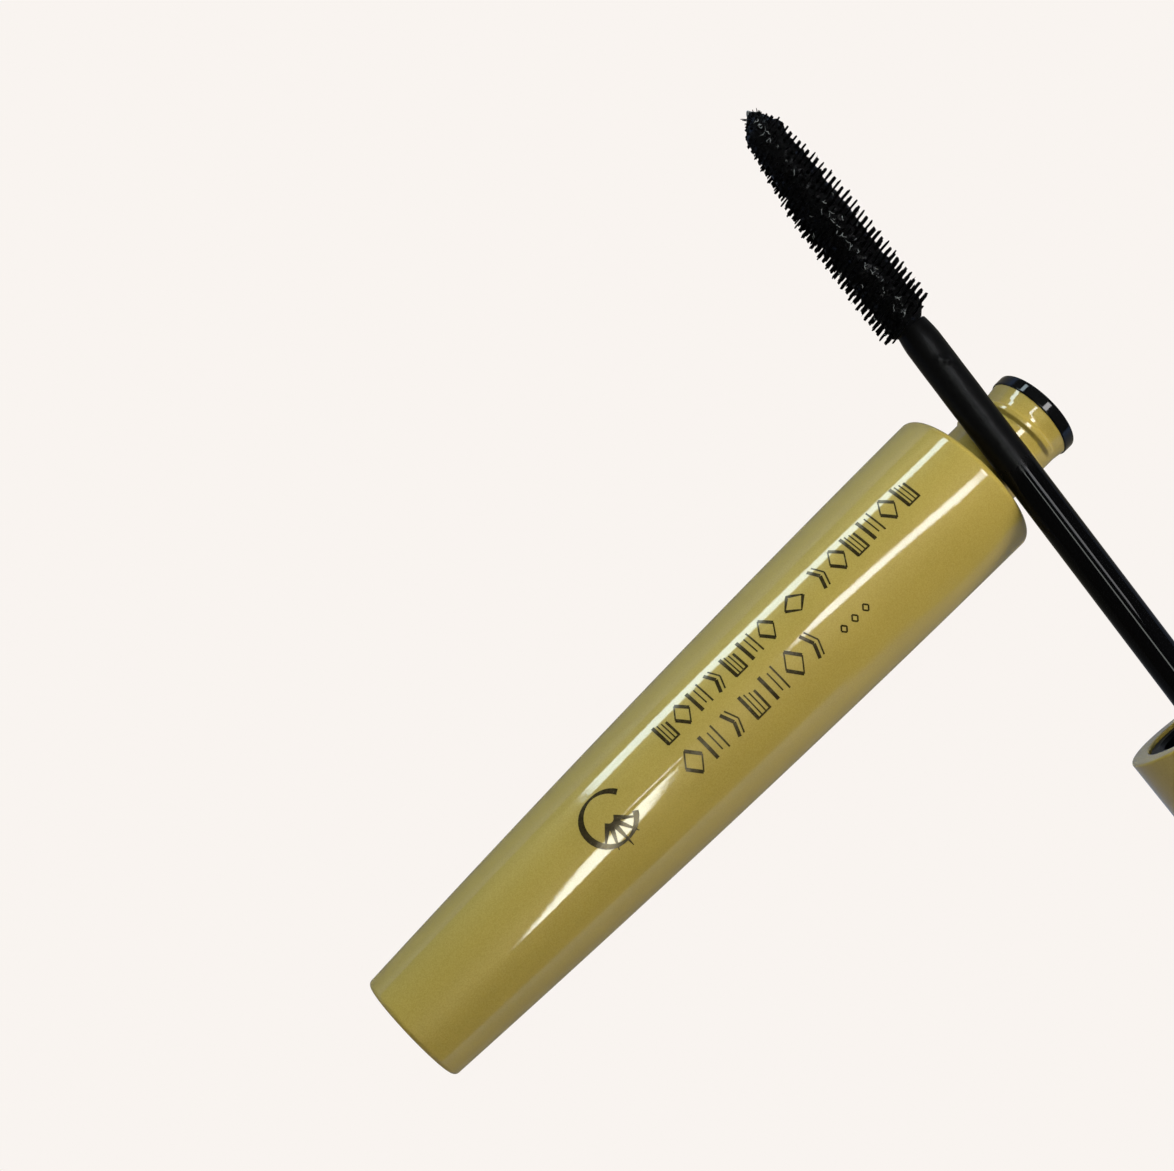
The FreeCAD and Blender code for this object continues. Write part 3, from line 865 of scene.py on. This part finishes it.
class Stamp:
    """Foil strokes on the bottle: (s, t) is mm along the bottle and mm round it from the top."""

    def __init__(self):
        self.verts, self.faces = [], []

    def point(self, s, t, lift):
        """Where (s, t) lies on the flank, raised by lift, in metres."""
        r = flank(s)
        a = math.pi - t / r
        return ((r + lift) * math.cos(a) * MM, (r + lift) * math.sin(a) * MM, s * MM)

    def slab(self, left, right):
        """A thin closed slab between two rails of (s, t) points."""
        start = len(self.verts)
        for lift in (FOIL_PROUD, -FOIL_SUNK):
            for rail in (left, right):
                self.verts += [self.point(s, t, lift) for s, t in rail]
        n = len(left)

        def index(layer, rail, k):
            return start + layer * 2 * n + rail * n + k

        def add(quad, flip=False):
            self.faces.append(quad[::-1] if flip else quad)

        for k in range(n - 1):
            add((index(0, 0, k), index(0, 0, k + 1), index(0, 1, k + 1), index(0, 1, k)))
            add((index(1, 0, k), index(1, 1, k), index(1, 1, k + 1), index(1, 0, k + 1)))
            for rail in (0, 1):
                add((index(0, rail, k), index(1, rail, k), index(1, rail, k + 1),
                     index(0, rail, k + 1)), rail == 1)
        for k in (0, n - 1):
            add((index(0, 0, k), index(1, 0, k), index(1, 1, k), index(0, 1, k)), k == 0)

    def stroke(self, points, widths):
        """A stroke along (s, t) points; widths give its breadth at each."""
        fine, breadth = [], []
        for k in range(len(points) - 1):
            for f in np.linspace(0, 1, 7)[:-1]:
                fine.append(np.array(points[k]) * (1 - f) + np.array(points[k + 1]) * f)
                breadth.append(widths[k] * (1 - f) + widths[k + 1] * f)
        fine.append(np.array(points[-1]))
        breadth.append(widths[-1])
        fine = np.array(fine)
        along = np.gradient(fine, axis=0)
        along /= np.linalg.norm(along, axis=1, keepdims=True)
        across = np.stack([-along[:, 1], along[:, 0]], 1)
        half = np.array(breadth)[:, None] / 2
        self.slab([tuple(p) for p in fine - across * half], [tuple(p) for p in fine + across * half])

    def line(self, start, end, width):
        """A straight stroke of even width."""
        self.stroke([start, end], [width, width])

    def lozenge(self, s, t, half_length, half_breadth, widths):
        """The four sides of a lozenge, each with its own width."""
        corners = [(s - half_length, t), (s, t + half_breadth), (s + half_length, t),
                   (s, t - half_breadth)]
        for k, width in enumerate(widths):
            self.line(corners[k], corners[(k + 1) % 4], width)


# A glyph stands at s, reaches from low to high round the bottle, and is that wide along it.
def glyph_lozenge(stamp, s, low, high, wide):
    """An open lozenge with thin and bold sides in turn."""
    stamp.lozenge(s, (low + high) / 2, wide / 2, (high - low) / 2, (HAIRLINE, BOLD, HAIRLINE, BOLD))


def glyph_bars(stamp, s, low, high, wide):
    """Three bars: two full ones and a shorter thin one between them."""
    for share, inset, width in ((-0.36, 0.0, 0.44), (0.05, 0.35, HAIRLINE), (0.36, 0.0, THIN)):
        at = s + wide * share
        stamp.line((at, low + inset), (at, high - inset), width)


def glyph_chevron(stamp, s, low, high, _):
    """Two chevrons, one bold and one thin, of the same size whatever the width."""
    mid = (low + high) / 2
    for shift, width in ((-0.34, BOLD), (0.30, 0.20)):
        stamp.line((s + shift - 0.30, high), (s + shift + 0.32, mid), width)
        stamp.line((s + shift + 0.32, mid), (s + shift - 0.30, low), width)


def glyph_comb(stamp, s, low, high, wide):
    """A back along the bottle with four teeth, each shorter than the last."""
    stamp.line((s - wide * 0.42, low), (s + wide * 0.42, low), THIN)
    for k, width in enumerate((BOLD, 0.17, 0.17, 0.30)):
        at = s + wide * (-0.36 + 0.24 * k)
        stamp.line((at, low), (at, high - 0.22 * k), width)


GLYPHS = (glyph_comb, glyph_lozenge, glyph_bars, glyph_chevron)
# Each row: first and last height, low and high angle in degrees, and its glyphs by number.
PRINT_ROWS = (
    (41.2, 59.7, 12.0, 30.5, (0, 1, 2, 3, 0, 2, 1)),
    (65.5, 81.6, 11.5, 30.0, (3, 1, 0, 2, 1, 0)),
    (40.8, 62.4, -19.5, 1.0, (1, 2, 3, 0, 2, 1, 3)),
)


def add_glyph_row(stamp, first, last, low, high, order):
    """Glyphs side by side along the bottle."""
    step = (last - first) / len(order)
    for k, number in enumerate(order):
        s = first + step * (k + 0.5)
        radius = flank(s)
        GLYPHS[number](stamp, s, math.radians(low) * radius, math.radians(high) * radius, step * 0.80)


def add_emblem(stamp, s, t):
    """An open ring with a fan of five tapering lashes."""
    radius = 3.05
    turn = np.linspace(math.radians(-62), math.radians(242), 34)
    ring = [(s - radius * math.sin(angle), t + radius * math.cos(angle)) for angle in turn]
    stamp.stroke(ring, [0.26 + 0.50 * abs(math.sin(angle)) for angle in turn])
    for k, angle in enumerate(np.linspace(math.radians(-50), math.radians(50), 5)):
        inner, outer = 0.55, 4.0 - 0.40 * abs(k - 2)
        root = (s + inner * math.sin(angle), t - inner * math.cos(angle))
        tip = (s + outer * math.sin(angle), t - outer * math.cos(angle))
        stamp.stroke([root, tip], [0.72, 0.10])


def build_print():
    """A geometric border and an emblem in dark foil, where such a tube has its print."""
    stamp = Stamp()
    for row in PRINT_ROWS:
        add_glyph_row(stamp, *row)
    # Between the first two rows, a lozenge whose sides swell towards their corners.
    left, right, middle = (61.2, 3.3), (64.0, 3.3), 62.6
    stamp.stroke([left, (middle, 4.5), right], [HAIRLINE, 0.40, HAIRLINE])
    stamp.stroke([left, (middle, 2.1), right], [0.40, HAIRLINE, 0.40])
    # After the third row, three small lozenges.
    t = math.radians(-16.6) * flank(65)
    for k in range(3):
        stamp.lozenge(64.4 + 1.7 * k, t, 0.42, 0.5, [0.20] * 4)
    add_emblem(stamp, 31.4, 0.75)
    ornament = finish_mesh("foil_ornament", stamp.verts, stamp.faces, bottle_frame, "filled_bottle",
                           (), 40.0)
    wear(ornament, foil)


# ---------------------------------------------------------------- stage
# Place in metres, and directions.
CAMERA_AT = Vector((-0.03458, 0.00645, 0.22202))
CAMERA_AIM = Vector((0.150838, 0.161782, -0.975230))
CAMERA_RIGHT = Vector((0.714446, -0.699669, -0.005566))
LENS = 57.93                # mm, on a sensor 36 mm wide
BACKDROP = (0.947, 0.905, 0.871)
LIGHT_DISTANCE = 0.5        # metres from the bottle to each strip light


def build_camera():
    """Looks steeply down on the bottle and the wand."""
    up = CAMERA_RIGHT.cross(CAMERA_AIM).normalized()
    data = bpy.data.cameras.new("camera")
    data.lens = LENS
    data.sensor_width = 36.0
    data.clip_start = 0.005
    data.clip_end = 20.0
    camera = bpy.data.objects.new("camera", data)
    bpy.context.scene.collection.objects.link(camera)
    matrix = Matrix((CAMERA_RIGHT, up, -CAMERA_AIM)).transposed().to_4x4()
    matrix.translation = CAMERA_AT
    camera.matrix_world = matrix
    bpy.context.scene.camera = camera


def floor_surface(net):
    """Even paper to the camera; in the bottle's coat a painted reflection, with a painted shadow that darkens it
    near the bottle; and dim paper to the rest.
    """
    across = net.parts(net.coordinates())[1]
    beside = net.maths("ABSOLUTE", net.maths("SUBTRACT", across, throat["pos_m"][1]), 0.0)
    # Painted shadow: the floor's glow in reflections is darker within a few centimetres of the bottle.
    painted_shadow_fade = net.remap(beside, 0.015, 0.09, 0.0, 1.0)
    painted_reflection = net.glow(net.mix(painted_shadow_fade, (0.25, 0.235, 0.19), (0.32, 0.46, 0.78)))
    paper = net.add("ShaderNodeBsdfDiffuse", {"Color": (0.25, 0.235, 0.20)}).outputs[0]
    dim = net.glow((0.05, 0.046, 0.040))
    lit = net.add("ShaderNodeAddShader", {0: dim, 1: paper}).outputs[0]
    mirrored = net.switch("Is Glossy Ray", lit, painted_reflection)
    return net.switch("Is Camera Ray", mirrored, net.glow(BACKDROP))


def build_floor():
    """A wide sheet at the height of the bottle's lowest point."""
    size = 3.0
    verts = [(-size, -size, 0), (size, -size, 0), (size, size, 0), (-size, size, 0)]
    place = Matrix.Translation((0, 0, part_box("bottle")[0].z))
    floor = finish_mesh("floor", verts, [(0, 1, 2, 3)], place, None, (), None)
    wear(floor, glow_material("floor", floor_surface))


def build_world():
    """A dim room, warm at the bottle's base end, behind the same backdrop as the floor's."""
    world = bpy.data.worlds.new("studio")
    bpy.context.scene.world = world
    world.use_nodes = True
    net = Net(world.node_tree)
    axes = net.parts(net.coordinates("Generated"))
    side = net.remap(axes[1], -0.9, 0.9, 0.0, 1.0)
    end = net.remap(axes[0], -1.0, -0.1, 1.0, 0.0)
    across = net.mix(side, (0.11, 0.087, 0.069), (0.34, 0.355, 0.31))
    room = net.nodes["Background"]
    net.feed(room.inputs["Color"], net.mix(end, across, (0.62, 0.54, 0.42)))
    net.feed(room.inputs["Strength"], 0.2)
    backdrop = net.add("ShaderNodeBackground", {"Color": BACKDROP}).outputs[0]
    seen = net.switch("Is Camera Ray", room.outputs[0], backdrop)
    net.feed(net.nodes["World Output"].inputs["Surface"], seen)


def card_point(height, normal_angle):
    """Where a light has to be for the bottle to mirror it at that place to the camera."""
    turned = math.pi - math.radians(normal_angle)
    radius = flank(height) * MM
    local = Vector((radius * math.cos(turned), radius * math.sin(turned), height * MM))
    slope = flank(height - 0.5) - flank(height + 0.5)
    outwards = Vector((math.cos(turned), math.sin(turned), slope)).normalized()
    point = bottle_frame @ local
    normal = (bottle_frame.to_3x3() @ outwards).normalized()
    view = (CAMERA_AT - point).normalized()
    mirrored = (normal * 2 * normal.dot(view) - view).normalized()
    return point + mirrored * LIGHT_DISTANCE


def build_card(name, path, colour, strength, grain):
    """A strip light, as it is mirrored: (height on the bottle, left, core and right angle, level)."""
    verts, faces, levels = [], [], []
    for height, left, core, right, level in path:
        for angle, amount in ((left, 0.0), (core, level), (right, level)):
            verts.append(tuple(card_point(height, angle)))
            levels.append(amount)
    for k in range(len(path) - 1):
        for column in range(2):
            corner = 3 * k + column
            faces.append((corner, corner + 1, corner + 4, corner + 3))
    card = finish_mesh(name, verts, faces, Matrix.Identity(4), None, (), None)
    attribute = card.data.attributes.new("level", "FLOAT", "POINT")
    attribute.data.foreach_set("value", levels)
    card.visible_camera = False

    def surface(net):
        level = net.nodes.new("ShaderNodeAttribute")
        level.attribute_name = "level"
        speckle = net.remap(net.noise(net.coordinates(), 1300.0, 1.0, 0.6), 0.0, 1.0, -grain, grain)
        rough = net.maths("ADD", level.outputs["Fac"], speckle)
        shape = net.remap(rough, 0.46, 0.54, 0.0, 1.0)
        return net.glow(colour, net.maths("MULTIPLY", shape, strength))

    wear(card, glow_material(name, surface))


def build_area(name, place, aim, size, power, colour):
    """A square lamp that lights the object but isn't mirrored in it."""
    data = bpy.data.lights.new(name, "AREA")
    data.shape = "RECTANGLE"
    data.size = size
    data.size_y = size
    data.energy = power
    data.color = colour
    lamp = bpy.data.objects.new(name, data)
    bpy.context.scene.collection.objects.link(lamp)
    lamp.location = place
    lamp.visible_glossy = False
    lamp.rotation_euler = (Vector(aim) - Vector(place)).to_track_quat("-Z", "Y").to_euler()


def build_lamps():
    build_area("side_key", (0.21, -0.08, 0.17), (0.02, 0.02, 0.01), 0.12, 0.97, (1.0, 0.98, 0.95))
    build_area("far_fill", (0.05, 0.31, 0.13), (0.01, 0.02, 0.01), 0.2, 0.70, (0.88, 1.0, 0.95))
    build_area("end_fill", (-0.45, -0.06, 0.06), (0.04, -0.04, 0.01), 0.1, 0.6, (1.0, 0.90, 0.76))


def build_strips():
    """Strip lights, outlined by where their reflections lie on the bottle."""
    build_card("strip_left",
               [(108.0, 29.6, 29.4, 25.0, 1), (84.0, 29.6, 29.4, 25.0, 1),
                (57.0, 34.1, 33.9, 28.0, 1), (43.0, 35.7, 35.5, 29.2, 1),
                (32.4, 35.9, 35.7, 28.6, 1), (31.0, 35.9, 35.7, 28.6, 0)],
               (0.76, 0.93, 1.0), 12.5, 0.08)
    build_card("strip_right_high",
               [(87.7, -6.8, -7.0, -9.0, 1), (86.9, -5.2, -5.6, -10.6, 1),
                (85.0, -5.0, -5.4, -10.8, 1), (75.0, -1.2, -1.6, -5.8, 1),
                (64.5, 2.1, 1.7, -2.9, 1), (59.3, 1.2, 0.9, -1.0, 1)],
               (0.90, 0.95, 1.0), 16.0, 0.12)
    build_card("strip_right_end",
               [(108.0, -5.0, -5.2, -11.2, 1), (88.8, -5.0, -5.2, -10.8, 1)],
               (0.95, 0.93, 0.95), 18.0, 0.35)
    build_card("strip_right_thin",
               [(42.0, -0.8, -0.9, -1.4, 0.8), (38.0, -0.2, -0.3, -1.0, 1),
                (34.0, 0.1, 0.0, -0.6, 0.8)],
               (0.90, 0.95, 1.0), 16.0, 0.12)
    build_card("strip_right_low",
               [(39.5, -3.4, -3.7, -4.6, 1), (36.5, -2.8, -4.2, -10.4, 1),
                (34.0, -2.8, -4.6, -12.4, 1), (26.0, -4.2, -7.0, -14.1, 1),
                (19.0, -10.6, -12.4, -15.0, 1), (16.0, -14.2, -14.5, -15.0, 1)],
               (0.95, 1.0, 0.94), 17.5, 0.55)


build_bottle()
build_wiper()
build_cap()
build_rod()
build_wire()
build_matted_paste()
build_bristles()
build_threads_with_painted_glint()
build_print()
wear(frame["nodes"]["cap_insert"], cap_black)
wear(frame["nodes"]["cap_liner"], liner)
wear(frame["nodes"]["mascara_formula"], paste)
build_camera()
build_floor()
build_world()
build_lamps()
build_strips()
bpy.context.scene.view_settings.view_transform = "Standard"
